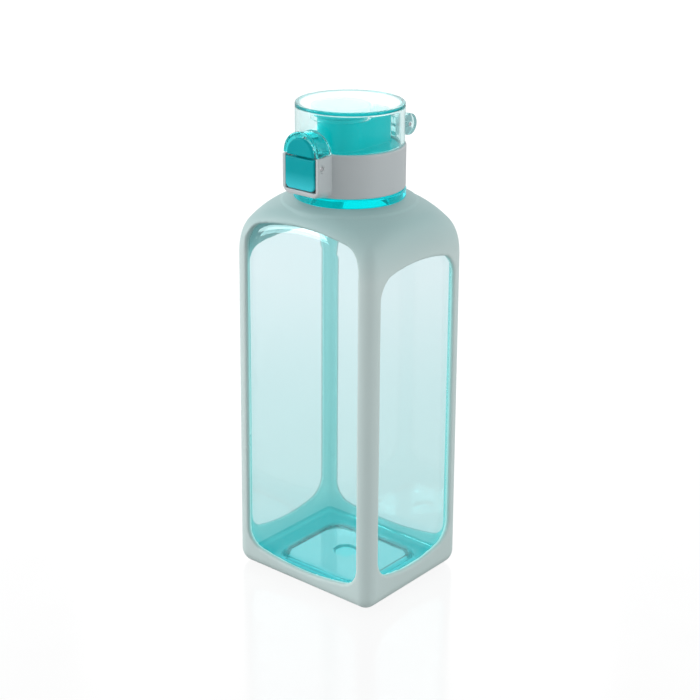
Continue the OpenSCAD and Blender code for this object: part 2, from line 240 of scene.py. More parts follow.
sleeveLook = {"cloudScale": 35.0, "grainScale": 1600.0, "dark": (0.56, 0.68, 0.67),
              "light": (0.59, 0.71, 0.7), "rough": 0.5, "roughSwing": 0.12, "bump": 0.25,
              # the tint above the shoulder is painted shade
              "bumpDepth": 0.05, "tint": (0.36, 0.54, 0.54), "tintAbove": 148.0, "tintOver": 20.0,
              # the inside colour is painted shade on the wall's inner face, lit up as a painted glow
              # through the shader's Emission Strength
              "inside": (0.29, 0.46, 0.45), "insideFrom": 0.25, "insideOver": 0.4,
              "insideTop": 142.0, "insideFade": 16.0, "insidePaintedGlow": (0.44, 0.85, 0.84),
              "shader": {"IOR": 1.42, "Sheen Weight": 0.1, "Sheen Roughness": 0.5,
                         "Emission Strength": 0.5}}
bodyLook = {"waveScale": 22.0, "hazeScale": 60.0, "rough": 0.0, "roughSwing": 0.02, "bump": 0.1,
            "bumpDepth": 0.4, "ior": 1.5, "shadowTint": (0.93, 0.99, 0.99),
            "glossTint": (0.7, 0.98, 0.98, 1), "tint": (0.0, 0.75, 0.75), "density": 45.0,
            # the glow is painted light along the bottle's foot
            "glow": (0.0, 0.5, 0.52), "glowStrength": 0.1, "glowMiddle": 0.0, "glowHalf": 2.3,
            "glowFade": 0.1,
            "stops": [(-1.0, (0.012, 0.45, 0.5)), (0.2, (0.35, 0.8, 0.85)),
                      (0.9, (0.35, 0.8, 0.85)), (1.1, (0.01, 0.5, 0.53)),
                      (2.34, (0.01, 0.5, 0.53)), (2.4, (0.55, 0.82, 0.86)),
                      (12.0, (0.78, 0.91, 0.92)), (30.0, (0.82, 0.92, 0.925)),
                      (85.0, (0.86, 0.935, 0.945)), (140.0, (0.955, 0.97, 0.985)),
                      (168.0, (0.92, 0.96, 0.975)), (171.0, (0.6, 0.9, 0.91))]}
neckLook = {**bodyLook, "density": 260.0, "tint": (0.0, 0.86, 0.87), "glossTint": (0.05, 0.9, 0.9, 1),
            # the glow is painted light on the neck and its ring
            "glowStrength": 0.25, "glowMiddle": 180.0, "glowHalf": 20.0,
            "stops": [(170.0, (0.01, 0.86, 0.88)), (178.0, (0.01, 0.86, 0.88))]}
lidLook = {"waveScale": 60.0, "hazeScale": 120.0, "rough": 0.0, "roughSwing": 0.03, "bump": 0.08,
           "bumpDepth": 0.2, "ior": 1.5, "shadowTint": (0.95, 1, 1),
           "glossTint": (0.2, 0.95, 0.95, 1), "tint": (0.0, 0.85, 0.85), "density": 45.0,
           "fringe": (0.06, 0.74, 0.76), "fringeFrom": 23.4, "fringeOver": 0.8,
           "stops": [(195.0, (0.88, 0.99, 0.99)), (211.5, (0.98, 1.0, 1.0)),
                     (211.9, (0.008, 0.53, 0.57)), (212.6, (0.008, 0.53, 0.57)),
                     (212.9, (0.98, 1.0, 1.0))]}
spoutLook = {"cloudScale": 60.0, "grainScale": 1800.0, "dark": (0.0, 0.42, 0.44),
             "light": (0.0, 0.48, 0.5), "rough": 0.25, "roughSwing": 0.1, "bump": 0.08,
             "bumpDepth": 0.03,
             # the emission paints a glow on the spout
             "shader": {"IOR": 1.5, "Specular IOR Level": 0.1, "Emission Strength": 0.2,
                        "Emission Color": (0.0, 0.5, 0.5, 1)}}
greyLook = {"cloudScale": 60.0, "grainScale": 2200.0, "dark": (0.49, 0.535, 0.55),
            "light": (0.52, 0.565, 0.58), "rough": 0.36, "roughSwing": 0.1, "bump": 0.15,
            "bumpDepth": 0.03, "shader": {"IOR": 1.49, "Coat Weight": 0.15, "Coat Roughness": 0.25}}
buttonLook = {"cloudScale": 70.0, "grainScale": 2400.0, "dark": (0.002, 0.34, 0.38),
              "light": (0.004, 0.4, 0.44), "rough": 0.3, "roughSwing": 0.1, "bump": 0.12,
              # the lighter colour at the button's lower edge is painted light
              "bumpDepth": 0.03, "lower": (0.05, 0.6, 0.68), "lowerFrom": 182.0, "lowerOver": 6.5,
              "shader": {"IOR": 1.5, "Specular IOR Level": 0.06}}
sealLook = {"cloudScale": 80.0, "grainScale": 1500.0, "dark": (0.78, 0.87, 0.87),
            "light": (0.86, 0.92, 0.92), "rough": 0.5, "roughSwing": 0.1, "bump": 0.15,
            "bumpDepth": 0.03, "shader": {"IOR": 1.42}}
steelLook = {"stretch": (40, 400, 400), "lineScale": 12.0, "dark": (0.5, 0.51, 0.53),
             "light": (0.72, 0.73, 0.75), "rough": 0.18, "roughSwing": 0.15, "bump": 0.1,
             "bumpDepth": 0.02}

finishes = {"sleeve": satinFinish("sleeveSilicone", sleeveLook),
            "body": clearFinish("clearBody", bodyLook),
            "neck": clearFinish("clearNeck", neckLook),
            "lid": clearFinish("clearLid", lidLook),
            "spout": satinFinish("tealSpout", spoutLook),
            "grey": satinFinish("greyCollar", greyLook),
            "button": satinFinish("tealButton", buttonLook),
            "seal": satinFinish("milkySilicone", sealLook),
            "steel": steelFinish("drawnSteel", steelLook)}
print("finishes ready:", len(finishes))


# Solid shapes are distance fields in millimetres, below 0 inside
def both(first, *others):
    # what all of them share, with sharp edges
    for other in others:
        first = np.maximum(first, other)
    return first


def either(first, *others):
    # all of them joined, with sharp edges
    for other in others:
        first = np.minimum(first, other)
    return first


def roundBoth(a, b, r):
    # what a and b share, with its edge rounded to radius r
    return np.minimum(-r, np.maximum(a, b)) + np.hypot(np.maximum(a + r, 0), np.maximum(b + r, 0))


def roundEither(a, b, r):
    # a and b joined, with a fillet of radius r
    return np.maximum(r, np.minimum(a, b)) - np.hypot(np.maximum(r - a, 0), np.maximum(r - b, 0))


def slab(t, low, high):
    return np.abs(t - (low + high) / 2) - (high - low) / 2


def plate(x, y, halfX, halfY, r):
    dx, dy = np.abs(x) - halfX + r, np.abs(y) - halfY + r
    return np.hypot(np.maximum(dx, 0), np.maximum(dy, 0)) + np.minimum(np.maximum(dx, dy), 0) - r


def block(x, y, z, low, high, r):
    dx, dy, dz = [slab(t, low[i], high[i]) + r for i, t in enumerate((x, y, z))]
    outside = np.sqrt(sum(np.maximum(d, 0) ** 2 for d in (dx, dy, dz)))
    return outside + np.minimum(both(dx, dy, dz), 0) - r


def gradient(field, points, step):
    x, y, z = points.T
    slope = [(field(x + step * (a == 0), y + step * (a == 1), z + step * (a == 2))
              - field(x - step * (a == 0), y - step * (a == 1), z - step * (a == 2))) / (2 * step)
             for a in range(3)]
    return np.stack(slope, 1), field(x, y, z)


netting = {"passes": 5, "step": 0.02, "flattest": 0.05, "reach": 0.7}  # step and reach in cells


def surfaceNet(field, room, cell):
    # even mesh of quads on field = 0, each point then moved exactly onto the surface
    low, high = np.array(room, float)
    count = np.ceil((high - low) / cell).astype(int) + 1
    x, y, z = [low[a] + cell * np.arange(count[a]) for a in range(3)]
    value = np.broadcast_to(field(x[:, None, None], y[None, :, None], z[None, None, :]), count)
    cells = count - 1
    total, hits, quads = np.zeros((cells.prod(), 3)), np.zeros(cells.prod()), []
    for a in range(3):
        b, c = (a + 1) % 3, (a + 2) % 3
        near, far = np.moveaxis(value, a, 0)[:-1], np.moveaxis(value, a, 0)[1:]
        near, far = np.moveaxis(near, 0, a), np.moveaxis(far, 0, a)
        cut = (near < 0) != (far < 0)
        at = np.stack(np.nonzero(cut), 1)
        v0, v1 = near[cut], far[cut]
        point = low + cell * at
        point[:, a] += cell * v0 / (v0 - v1)
        ring = []
        for db, dc in ((-1, -1), (0, -1), (0, 0), (-1, 0)):
            home = at.copy()
            home[:, b] += db
            home[:, c] += dc
            home = np.ravel_multi_index(home.T, cells)
            for axis in range(3):
                total[:, axis] += np.bincount(home, point[:, axis], len(hits))
            hits += np.bincount(home, minlength=len(hits))
            ring.append(home)
        ring = np.stack(ring, 1)
        ring[v0 >= 0] = ring[v0 >= 0][:, ::-1]
        quads.append(ring)
    used = np.nonzero(hits)[0]
    order = np.full(len(hits), -1)
    order[used] = np.arange(len(used))
    points = total[used] / hits[used][:, None]
    home = points.copy()
    step, reach = netting["step"] * cell, netting["reach"] * cell
    for turn in range(netting["passes"]):
        slope, f = gradient(field, points, step)
        steep = np.maximum((slope ** 2).sum(1), netting["flattest"])
        points = points - (f / steep)[:, None] * slope
        points = home + np.clip(points - home, -reach, reach)
    slope, f = gradient(field, points, step)
    normals = slope / np.maximum(np.linalg.norm(slope, axis=1), 1e-6)[:, None]
    return points, order[np.concatenate(quads)].tolist(), normals


def revolve(corners, spin=128, arcPoints=6):
    # closed clockwise outline of (radius, height, rounding) turned about the axis, with exact normals
    outline = []
    for i, (r, z, bend) in enumerate(corners):
        here = np.array((r, z), float)
        if bend == 0:
            outline.append((here, np.array((0, -1.0 if i == 0 else 1.0))))
            continue
        back = np.array(corners[i - 1][:2], float) - here
        on = np.array(corners[(i + 1) % len(corners)][:2], float) - here
        back, on = back / np.linalg.norm(back), on / np.linalg.norm(on)
        half = math.acos(max(-1, min(1, float(back @ on)))) / 2
        reach = bend / math.tan(half)
        middle = here + (back + on) / np.linalg.norm(back + on) * bend / math.sin(half)
        first, last = here + back * reach - middle, here + on * reach - middle
        outward = 1 if back[0] * on[1] - back[1] * on[0] > 0 else -1
        for k in range(arcPoints):
            share = k / (arcPoints - 1)
            way = first * (1 - share) + last * share
            way = way / np.linalg.norm(way)
            outline.append((middle + way * bend, way * outward))
    count = len(outline)
    turn = np.arange(spin) * 2 * math.pi / spin
    place, lean = [np.array([o[i] for o in outline]) for i in (0, 1)]
    ring = np.stack([np.cos(turn), np.sin(turn)], 1)
    points = np.concatenate([ring[:, None, :] * place[None, :, :1],
                             np.broadcast_to(place[None, :, 1:], (spin, count, 1))], 2)
    normals = np.concatenate([ring[:, None, :] * lean[None, :, :1],
                              np.broadcast_to(lean[None, :, 1:], (spin, count, 1))], 2)
    i, k = np.meshgrid(np.arange(spin), np.arange(count), indexing="ij")
    i, k = i.ravel(), k.ravel()
    j, m = (i + 1) % spin, (k + 1) % count
    number = np.arange(spin * count).reshape(spin, count)
    number[:, place[:, 0] == 0] = number[0, place[:, 0] == 0]
    faces = np.stack([number[i, k], number[i, m], number[j, m], number[j, k]], 1)
    faces = [list(dict.fromkeys(f)) for f in faces.tolist()]
    faces = [f for f in faces if len(f) > 2]
    return points.reshape(-1, 3), faces, normals.reshape(-1, 3)


def declare(piece, bodyName, nodes):
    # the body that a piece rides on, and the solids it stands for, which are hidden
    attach(piece, bodyName)
    if nodes:
        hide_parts(*nodes)
    print("made", piece.name, len(piece.data.polygons), "faces")


def addPiece(name, made, finish, bodyName, nodes):
    # mesh object from points, faces and normals; points that no face uses are dropped
    points, faces, normals = made
    used = np.unique([v for f in faces for v in f])
    order = np.zeros(len(points), int)
    order[used] = np.arange(len(used))
    mesh = bpy.data.meshes.new(name)
    mesh.from_pydata(((points[used] + (0, 0, lift)) * mm).tolist(), [],
                     [[int(order[v]) for v in f] for f in faces])
    mesh.polygons.foreach_set("use_smooth", [True] * len(mesh.polygons))
    mesh.normals_split_custom_set_from_vertices(normals[used].tolist())
    mesh.materials.append(finishes[finish])
    piece = bpy.data.objects.new(name, mesh)
    bpy.context.scene.collection.objects.link(piece)
    declare(piece, bodyName, nodes)
    return piece


# The squared form that sleeve and body share
form = {"halfX": 39.2, "halfY": 33.1, "corner": 6.4, "cornerLeast": 1.5, "taper": 0.000165,
        "arcOffset": 10.0, "arcRadius": 50.9, "arcHeight": 123.6, "blend": 6.8}


def squaredForm(x, y, z, inset):
    s = 1 - form["taper"] * z
    side = plate(x, y, form["halfX"] * s - inset, form["halfY"] * s - inset,
                 np.maximum(form["corner"] * s - inset, form["cornerLeast"]))
    out = np.maximum(np.hypot(x, y) - form["arcOffset"], 0)
    arc = np.hypot(out, np.maximum(z - form["arcHeight"], 0)) - form["arcRadius"] + inset
    share = np.clip(1 - np.abs(side - arc) / form["blend"], 0, 1)
    return np.maximum(side, arc) + share * share * form["blend"] / 4


# wide and narrow: low edge, high edge, bow of the top and bow of the foot
sleeve = {"thick": 2.6, "gap": 0.06, "foot": -3.4, "footRound": 7.0,
          "wide": (5.0, 165.0, 95.0, 130.0), "narrow": (8.4, 151.0, 80.0, 75.0), "margin": 7.3,
          "windowRound": 7.0, "edgeRound": 1.1, "neckRadius": 22.5, "neckRound": 0.7,
          "lipRadius": 29.0, "lipRise": 0.45, "lipRound": 0.6, "lipFillet": 0.8, "lipFrom": 150.0,
          "footHole": (25.0, 22.0, 8.0), "holeTop": 10.0,
          "room": ((-41.0, -35.0, -5.2), (41.0, 35.0, 175.0)), "cell": 0.95}
body = {"wall": 2.0, "foot": -1.2, "footRound": 4.4, "floorRound": 2.4, "plateau": (22.0, 19.0),
        "plateauCorner": 6.0, "plateauRise": 1.6, "plateauRound": 0.8, "raisedRound": 0.9,
        "creaseRound": 0.7, "dimple": 5.2, "dimpleFloor": 0.6, "dimpleRound": 0.3,
        "dimpleEdge": 0.4, "bore": 17.2, "boreFrom": 150.0, "root": 22.2, "top": 170.0,
        "topRound": 1.0, "room": ((-38.0, -32.0, -2.8), (38.0, 32.0, 172.0)), "cell": 1.12}


def windowField(across, z, half, sizes):
    low, high, bowTop, bowFoot = sizes
    top = np.hypot(across, z - high + bowTop) - bowTop
    foot = np.hypot(across, z - low - bowFoot) - bowFoot
    return roundBoth(np.abs(across) - half, both(top, foot), sleeve["windowRound"])


def sleeveField(x, y, z):
    c = sleeve
    s = 1 - form["taper"] * z
    rho = np.hypot(x, y)
    solid = roundBoth(squaredForm(x, y, z, 0), c["foot"] - z, c["footRound"])
    lip = roundBoth(squaredForm(x, y, z, -c["lipRise"]), rho - c["lipRadius"], c["lipRound"])
    solid = roundEither(solid, both(lip, c["lipFrom"] - z), c["lipFillet"])
    wide = windowField(x, z, form["halfX"] * s - c["margin"], c["wide"])
    narrow = windowField(y, z, form["halfY"] * s - c["margin"], c["narrow"])
    solid = roundBoth(solid, -either(wide, narrow), c["edgeRound"])
    solid = roundBoth(solid, c["neckRadius"] - rho, c["neckRound"])
    hollow = roundBoth(squaredForm(x, y, z, c["thick"] - c["gap"]), body["foot"] - c["gap"] - z,
                       body["footRound"])
    hole = both(plate(x, y, *c["footHole"]), z - c["holeTop"])
    return both(solid, -hollow, -hole)


sleevePiece = addPiece("sleeveShell", surfaceNet(sleeveField, sleeve["room"], sleeve["cell"]),
                       "sleeve", "bottle", ["sleeve"])
# how deep each point lies in the wall, 0 outside and 1 inside, for the painted shade and painted glow on
# the sleeve's inner face
spots = np.zeros(len(sleevePiece.data.vertices) * 3)
sleevePiece.data.vertices.foreach_get("co", spots)
spots = spots.reshape(-1, 3) / mm - (0, 0, lift)
outer = squaredForm(spots[:, 0], spots[:, 1], spots[:, 2], 0)
depth = -roundBoth(outer, sleeve["foot"] - spots[:, 2], sleeve["footRound"]) / sleeve["thick"]
sleevePiece.data.attributes.new("depth", "FLOAT", "POINT").data.foreach_set("value", depth)


def bodyField(x, y, z):
    c = body
    rho = np.hypot(x, y)
    outside = roundBoth(squaredForm(x, y, z, sleeve["thick"]), c["foot"] - z, c["footRound"])
    outside = both(either(outside, rho - c["root"]), z - c["top"], c["foot"] - z)
    under = roundBoth(plate(x, y, *c["plateau"], c["plateauCorner"]), z - c["foot"] - c["plateauRise"],
                      c["plateauRound"])
    outside = roundBoth(outside, -under, c["creaseRound"])
    floor = c["foot"] + c["wall"]
    inside = roundBoth(squaredForm(x, y, z, sleeve["thick"] + c["wall"]), floor - z, c["floorRound"])
    halfX, halfY = c["plateau"]
    raised = plate(x, y, halfX + c["wall"], halfY + c["wall"], c["plateauCorner"] + c["wall"])
    raised = roundBoth(raised, z - floor - c["plateauRise"], c["raisedRound"])
    dimple = roundBoth(rho - c["dimple"], floor + c["dimpleFloor"] - z, c["dimpleRound"])
    raised = roundBoth(raised, -dimple, c["dimpleEdge"])
    inside = roundBoth(inside, -raised, c["creaseRound"])
    inside = roundBoth(inside, z - c["top"] + c["wall"], c["topRound"])
    return both(outside, -either(inside, both(rho - c["bore"], c["boreFrom"] - z)))


addPiece("bottleShell", surfaceNet(bodyField, body["room"], body["cell"]),
         "body", "bottle", ["bottle_body"])

# outline of the neck with its ring: radius, height, rounding
neck = [(17.2, 170.05, 0.2), (17.2, 191.6, 0.6), (19.6, 191.6, 0.6), (19.6, 176.7, 0.6),
        (24.1, 176.7, 0.7), (24.1, 172.9, 0.7), (22.2, 172.9, 0.5), (22.2, 170.05, 0.2)]
addPiece("neckFinish", revolve(neck), "neck", "bottle", [])
print("bottle done")

# Cap collar, with the latch's housing in front and the hinge's lug behind
# cavity, slot, step and lips: low corner, high corner and rounding of a block
collar = {"outer": 23.8, "seat": 21.9, "seatEdge": 0.4, "low": 177.0, "high": 195.5, "round": 0.7,
          "housing": 10.0, "front": -31.6, "housingBack": -18.0, "housingLow": 179.0, "reach": 15.0,
          "cornerRound": 3.6, "draft": 0.14, "tilt": 12.0, "housingEdge": 0.5,
          "housingFillet": 0.35, "pin": 1.0, "fit": 0.02, "pivotY": -28.8, "pivotZ": 191.0,
          "pinEnd": 9.3, "pinRecess": 1.7, "recessEdge": 0.1, "boreEnd": 9.15, "hingeY": 28.4,
          "hingeZ": 199.7, "barrel": 4.7, "lug": 5.6, "lugEdge": 0.4, "lugFillet": 1.0,
          "lugRoot": 0.6, "webFront": 21.5, "webTop": 198.6, "webFall": 0.3, "webMiddle": 26.0,
          "webBack": 28.9, "webHigh": 191.5, "webLow": 184.5, "webWay": (0.79, 0.61),
          "cavity": ((-8.1, -36.6, 181.0), (8.1, -24.4, 215.0), 0.3),
          "slot": ((-2.6, 25.2, 195.0), (2.6, 40.0, 215.0), 0.2),
          "step": ((-2.6, 23.9, 196.7), (2.6, 26.0, 215.0), 0.1), "cutEdge": 0.35,
          "lips": ((6.9, -30.3, 193.7), (9.2, -29.7, 195.2), 0.1), "lipsFrom": 8.5,
          "room": ((-25.5, -34.0, 175.5), (25.5, 34.5, 205.5)), "cell": 0.5}


def hingeAway(y, z):
    return np.hypot(y - collar["hingeY"], z - collar["hingeZ"])


def pivotAway(y, z):
    return np.hypot(y - collar["pivotY"], z - collar["pivotZ"])


def collarField(x, y, z):
    c = collar
    rho = np.hypot(x, y)
    band = roundBoth(rho - c["outer"], slab(z, c["low"], c["high"]), c["round"])
    back, tilt = y - c["front"], math.radians(c["tilt"])
    height = (z - c["housingLow"]) * math.cos(tilt) + back * math.sin(tilt) - c["reach"]
    tall = plate(np.abs(x) + c["draft"] * back, height, c["housing"], c["reach"], c["cornerRound"])
    tall = both(tall, slab(z, c["low"], c["high"]))
    housing = roundBoth(tall, slab(y, c["front"], c["housingBack"]), c["housingEdge"])
    ring = roundEither(band, housing, c["housingFillet"])
    outward, upward = c["webWay"]
    web = both(c["webFront"] - y, z - c["webTop"] + c["webFall"] * np.abs(y - c["webMiddle"]),
               (y - c["webBack"]) * outward - (z - c["webHigh"]) * upward, c["webLow"] - z)
    lug = roundEither(hingeAway(y, z) - c["barrel"], web, c["lugFillet"])
    lug = roundBoth(lug, np.abs(x) - c["lug"], c["lugEdge"])
    solid = roundEither(ring, lug, c["lugRoot"])
    cuts = either(*[block(x, y, z, *c[cut]) for cut in ("cavity", "slot", "step")])
    solid = roundBoth(solid, -cuts, c["cutEdge"])
    solid = either(solid, both(block(np.abs(x), y, z, *c["lips"]), np.abs(x) - c["lipsFrom"]))
    pins = either(hingeAway(y, z), pivotAway(y, z))
    solid = both(solid, either(c["pin"] + c["fit"] - pins, c["boreEnd"] - np.abs(x)))
    recess = both(pivotAway(y, z) - c["pinRecess"], c["pinEnd"] - np.abs(x))
    solid = roundBoth(solid, -recess, c["recessEdge"])
    return roundBoth(solid, c["seat"] - rho, c["seatEdge"])


addPiece("capCollar", surfaceNet(collarField, collar["room"], collar["cell"]),
         "grey", "cap", ["cap_collar"])

# Spout insert: skirt and deck, spout, and the straight-sided air chamber behind it
spout = {"skirt": 21.86, "bore": 21.0, "low": 177.6, "deckLow": 192.6, "deckHigh": 194.6,
         "cupEdge": 0.3, "deckFillet": 0.6, "shift": -6.0, "outer": 9.8, "wall": 1.8,
         "high": 208.4, "topEdge": 0.8, "lipEdge": 0.7, "chamberHalf": 9.7, "chamberBack": 17.4,
         "chamberFront": -8.0, "chamberHigh": 206.6, "chamberRound": 2.4, "joinFillet": 0.1,
         "ventY": 12.0, "vent": 1.5, "fit": 0.02,
         "room": ((-23.5, -23.5, 176.5), (23.5, 23.5, 210.0)), "cell": 0.5}


def chamberForm(x, y, inset):
    front, back = spout["chamberFront"] + inset, spout["chamberBack"] - inset
    return plate(x, y - (front + back) / 2, spout["chamberHalf"] - inset, (back - front) / 2,
                 spout["chamberRound"] - inset / 2)


def spoutField(x, y, z):
    c = spout
    rho, near = np.hypot(x, y), np.hypot(x, y - c["shift"])
    cup = roundBoth(rho - c["skirt"], slab(z, c["low"], c["deckHigh"]), c["cupEdge"])
    cup = both(cup, -both(rho - c["bore"], z - c["deckLow"]))
    tube = both(roundBoth(near - c["outer"], z - c["high"], c["topEdge"]), c["deckLow"] - z)
    chamber = both(roundBoth(chamberForm(x, y, 0), z - c["chamberHigh"], c["topEdge"]), c["deckLow"] - z)
    hollow = both(chamberForm(x, y, c["wall"]), z - c["chamberHigh"] + c["wall"], c["outer"] - near)
    solid = roundEither(roundEither(tube, chamber, c["joinFillet"]), cup, c["deckFillet"])
    solid = roundBoth(both(solid, -hollow), c["outer"] - c["wall"] - near, c["lipEdge"])
    return both(solid, c["vent"] + c["fit"] - np.hypot(x, y - c["ventY"]))


addPiece("spoutInsert", surfaceNet(spoutField, spout["room"], spout["cell"]),
         "spout", "cap", ["spout_insert"])

# Lid, with its arch over the latch and its knuckles on the hinge
lid = {"outer": 23.2, "wall": 1.7, "low": 195.8, "high": 213.1, "round": 0.7, "archZ": 196.2,
       "arch": 9.4, "archWall": 1.2, "archFootEdge": 0.3, "archEdge": 0.45, "archFillet": 0.5,
       "draft": 0.14, "front": -31.5, "back": -20.0, "roomBack": -21.0, "roomEdge": 0.3,
       "knuckleIn": 6.0, "knuckleOut": 10.0, "knuckleEdge": 0.4, "knuckleFillet": 0.5,
       "armFront": 19.0, "armBack": 2.4, "armTop": 4.2, "armFillet": 0.8, "bore": 1.06,
       "catch": ((-3.0, -26.7, 196.0), (3.0, -22.0, 197.2), 0.2), "catchFillet": 0.2,
       "hollowRound": 0.6, "rimEdge": 0.5,
       "room": ((-25.0, -34.0, 194.6), (25.0, 34.5, 214.6)), "cell": 0.42}


def lidField(x, y, z):
    c, h = lid, collar
    rho = np.hypot(x, y)
    tub = roundBoth(rho - c["outer"], slab(z, c["low"], c["high"]), c["round"])
    bow = np.hypot(x, z - c["archZ"]) + c["draft"] * (y - c["front"])
    arch = roundBoth(bow - c["arch"], c["low"] - z, c["archFootEdge"])
    arch = roundBoth(arch, slab(y, c["front"], c["back"]), c["archEdge"])
    arm = both(slab(y, c["armFront"], h["hingeY"] - c["armBack"]),
               slab(z, c["low"], h["hingeZ"] + c["armTop"]))
    knuckles = roundEither(hingeAway(y, z) - h["barrel"], arm, c["armFillet"])
    knuckles = roundBoth(knuckles, slab(np.abs(x), c["knuckleIn"], c["knuckleOut"]), c["knuckleEdge"])
    solid = roundEither(roundEither(tub, arch, c["archFillet"]), knuckles, c["knuckleFillet"])
    room = both(bow - c["arch"] + c["archWall"], y - c["roomBack"], -(rho - c["outer"]))
    solid = roundBoth(solid, -room, c["roomEdge"])
    solid = roundEither(solid, block(x, y, z, *c["catch"]), c["catchFillet"])
    hollow = roundBoth(rho - c["outer"] + c["wall"], z - c["high"] + c["wall"], c["hollowRound"])
    solid = roundBoth(solid, -hollow, c["rimEdge"])
    return both(solid, c["bore"] - hingeAway(y, z))


addPiece("flipLid", surfaceNet(lidField, lid["room"], lid["cell"]),
         "lid", "lid", ["flip_lid"])

# Seal carrier and seal under the lid's top, turned about the spout's axis
carrier = [(0, 210.42, 0), (0, 211.35, 0), (12.6, 211.35, 0.2), (12.6, 207.2, 0.3),
           (11.4, 207.2, 0.3), (11.4, 210.42, 0.2)]
seal = [(0, 207.1, 0), (0, 210.35, 0), (11.2, 210.35, 0.3), (11.2, 208.7, 0.4), (7.3, 208.7, 0.3),
        (7.3, 207.1, 0.6)]


def overSpout(corners):
    points, faces, normals = revolve(corners, spin=96)
    return points + np.array((0, spout["shift"], 0)), faces, normals


addPiece("sealCarrier", overSpout(carrier), "lid", "lid", ["seal_carrier"])
addPiece("spoutSeal", overSpout(seal), "spout", "lid", ["spout_seal"])
print("cap shells done")

# Latch button: face, boss on the pin, rib between them, and the arm with its hooked nose
latch = {"half": 7.85, "front": -32.1, "thick": 1.6, "low": 181.5, "high": 194.8, "reach": 15.0,
         "cornerRound": 2.4, "faceEdge": 0.5, "boss": 2.0, "bossHalf": 4.5, "bossEdge": 0.3,
         "rib": ((-4.5, -31.1, 188.8), (4.5, -28.8, 192.4), 0.3),
         "arm": ((-3.0, -28.4, 191.0), (3.0, -27.2, 198.8), 0.25),
         "nose": ((-3.0, -28.4, 197.6), (3.0, -27.05, 198.8), 0.25), "fillet": 0.3, "fit": 0.06,
         "room": ((-8.6, -33.0, 180.6), (8.6, -26.0, 199.6)), "cell": 0.26}


def buttonField(x, y, z):
    c = latch
    face = plate(x, z - c["low"] - c["reach"], c["half"], c["reach"], c["cornerRound"])
    face = roundBoth(both(face, z - c["high"]), slab(y, c["front"], c["front"] + c["thick"]),
                     c["faceEdge"])
    boss = roundBoth(pivotAway(y, z) - c["boss"], np.abs(x) - c["bossHalf"], c["bossEdge"])
    solid = roundEither(face, either(boss, block(x, y, z, *c["rib"])), c["fillet"])
    hook = either(block(x, y, z, *c["arm"]), block(x, y, z, *c["nose"]))
    solid = roundEither(solid, hook, c["fillet"])
    return both(solid, collar["pin"] + c["fit"] - pivotAway(y, z))


addPiece("latchButton", surfaceNet(buttonField, latch["room"], latch["cell"]),
         "button", "latch", ["latch_button"])

# Lock slider: round-topped face on a bridge, with stem, crossbar, legs and feet behind it
lock = {"dome": 7.0, "domeZ": 196.0, "base": 195.6, "front": -32.1, "thick": 1.6, "faceEdge": 0.5,
        "bridge": ((-4.0, -31.1, 196.4), (4.0, -28.7, 198.0), 0.2),
        "stem": ((-4.0, -29.4, 193.4), (4.0, -28.7, 198.0), 0.2),
        "bar": ((-6.6, -29.4, 193.4), (6.6, -28.7, 194.6), 0.2),
        "leg": ((5.5, -29.4, 192.35), (6.6, -28.2, 194.6), 0.2),
        "foot": ((6.5, -28.9, 192.35), (7.5, -28.2, 193.45), 0.15),
        "room": ((-8.2, -33.6, 191.4), (8.2, -27.6, 204.0)), "cell": 0.24}


def lockField(x, y, z):
    c = lock
    dome = np.hypot(x, np.maximum(z - c["domeZ"], 0)) - c["dome"]
    face = roundBoth(both(dome, c["base"] - z), slab(y, c["front"], c["front"] + c["thick"]),
                     c["faceEdge"])
    middle = [block(x, y, z, *c[bar]) for bar in ("bridge", "stem", "bar")]
    sides = [block(np.abs(x), y, z, *c[bar]) for bar in ("leg", "foot")]
    return either(face, *middle, *sides)


addPiece("lockSlider", surfaceNet(lockField, lock["room"], lock["cell"]),
         "button", "lock", ["lock_slider"])

pins = {"edge": 0.25, "sides": 40, "hingeHalf": 10.0, "latchHalf": 9.1}


def pinAlong(half, y, z):
    # round bar along X
    r = collar["pin"]
    corners = [(0, -half, 0), (0, half, 0), (r, half, pins["edge"]), (r, -half, pins["edge"])]
    points, faces, normals = revolve(corners, spin=pins["sides"])
    return points[:, [2, 0, 1]] + np.array((0, y, z)), faces, normals[:, [2, 0, 1]]


addPiece("hingePin", pinAlong(pins["hingeHalf"], collar["hingeY"], collar["hingeZ"]),
         "steel", "cap", ["hinge_pin"])
addPiece("latchPin", pinAlong(pins["latchHalf"], collar["pivotY"], collar["pivotZ"]),
         "steel", "cap", ["latch_pin"])


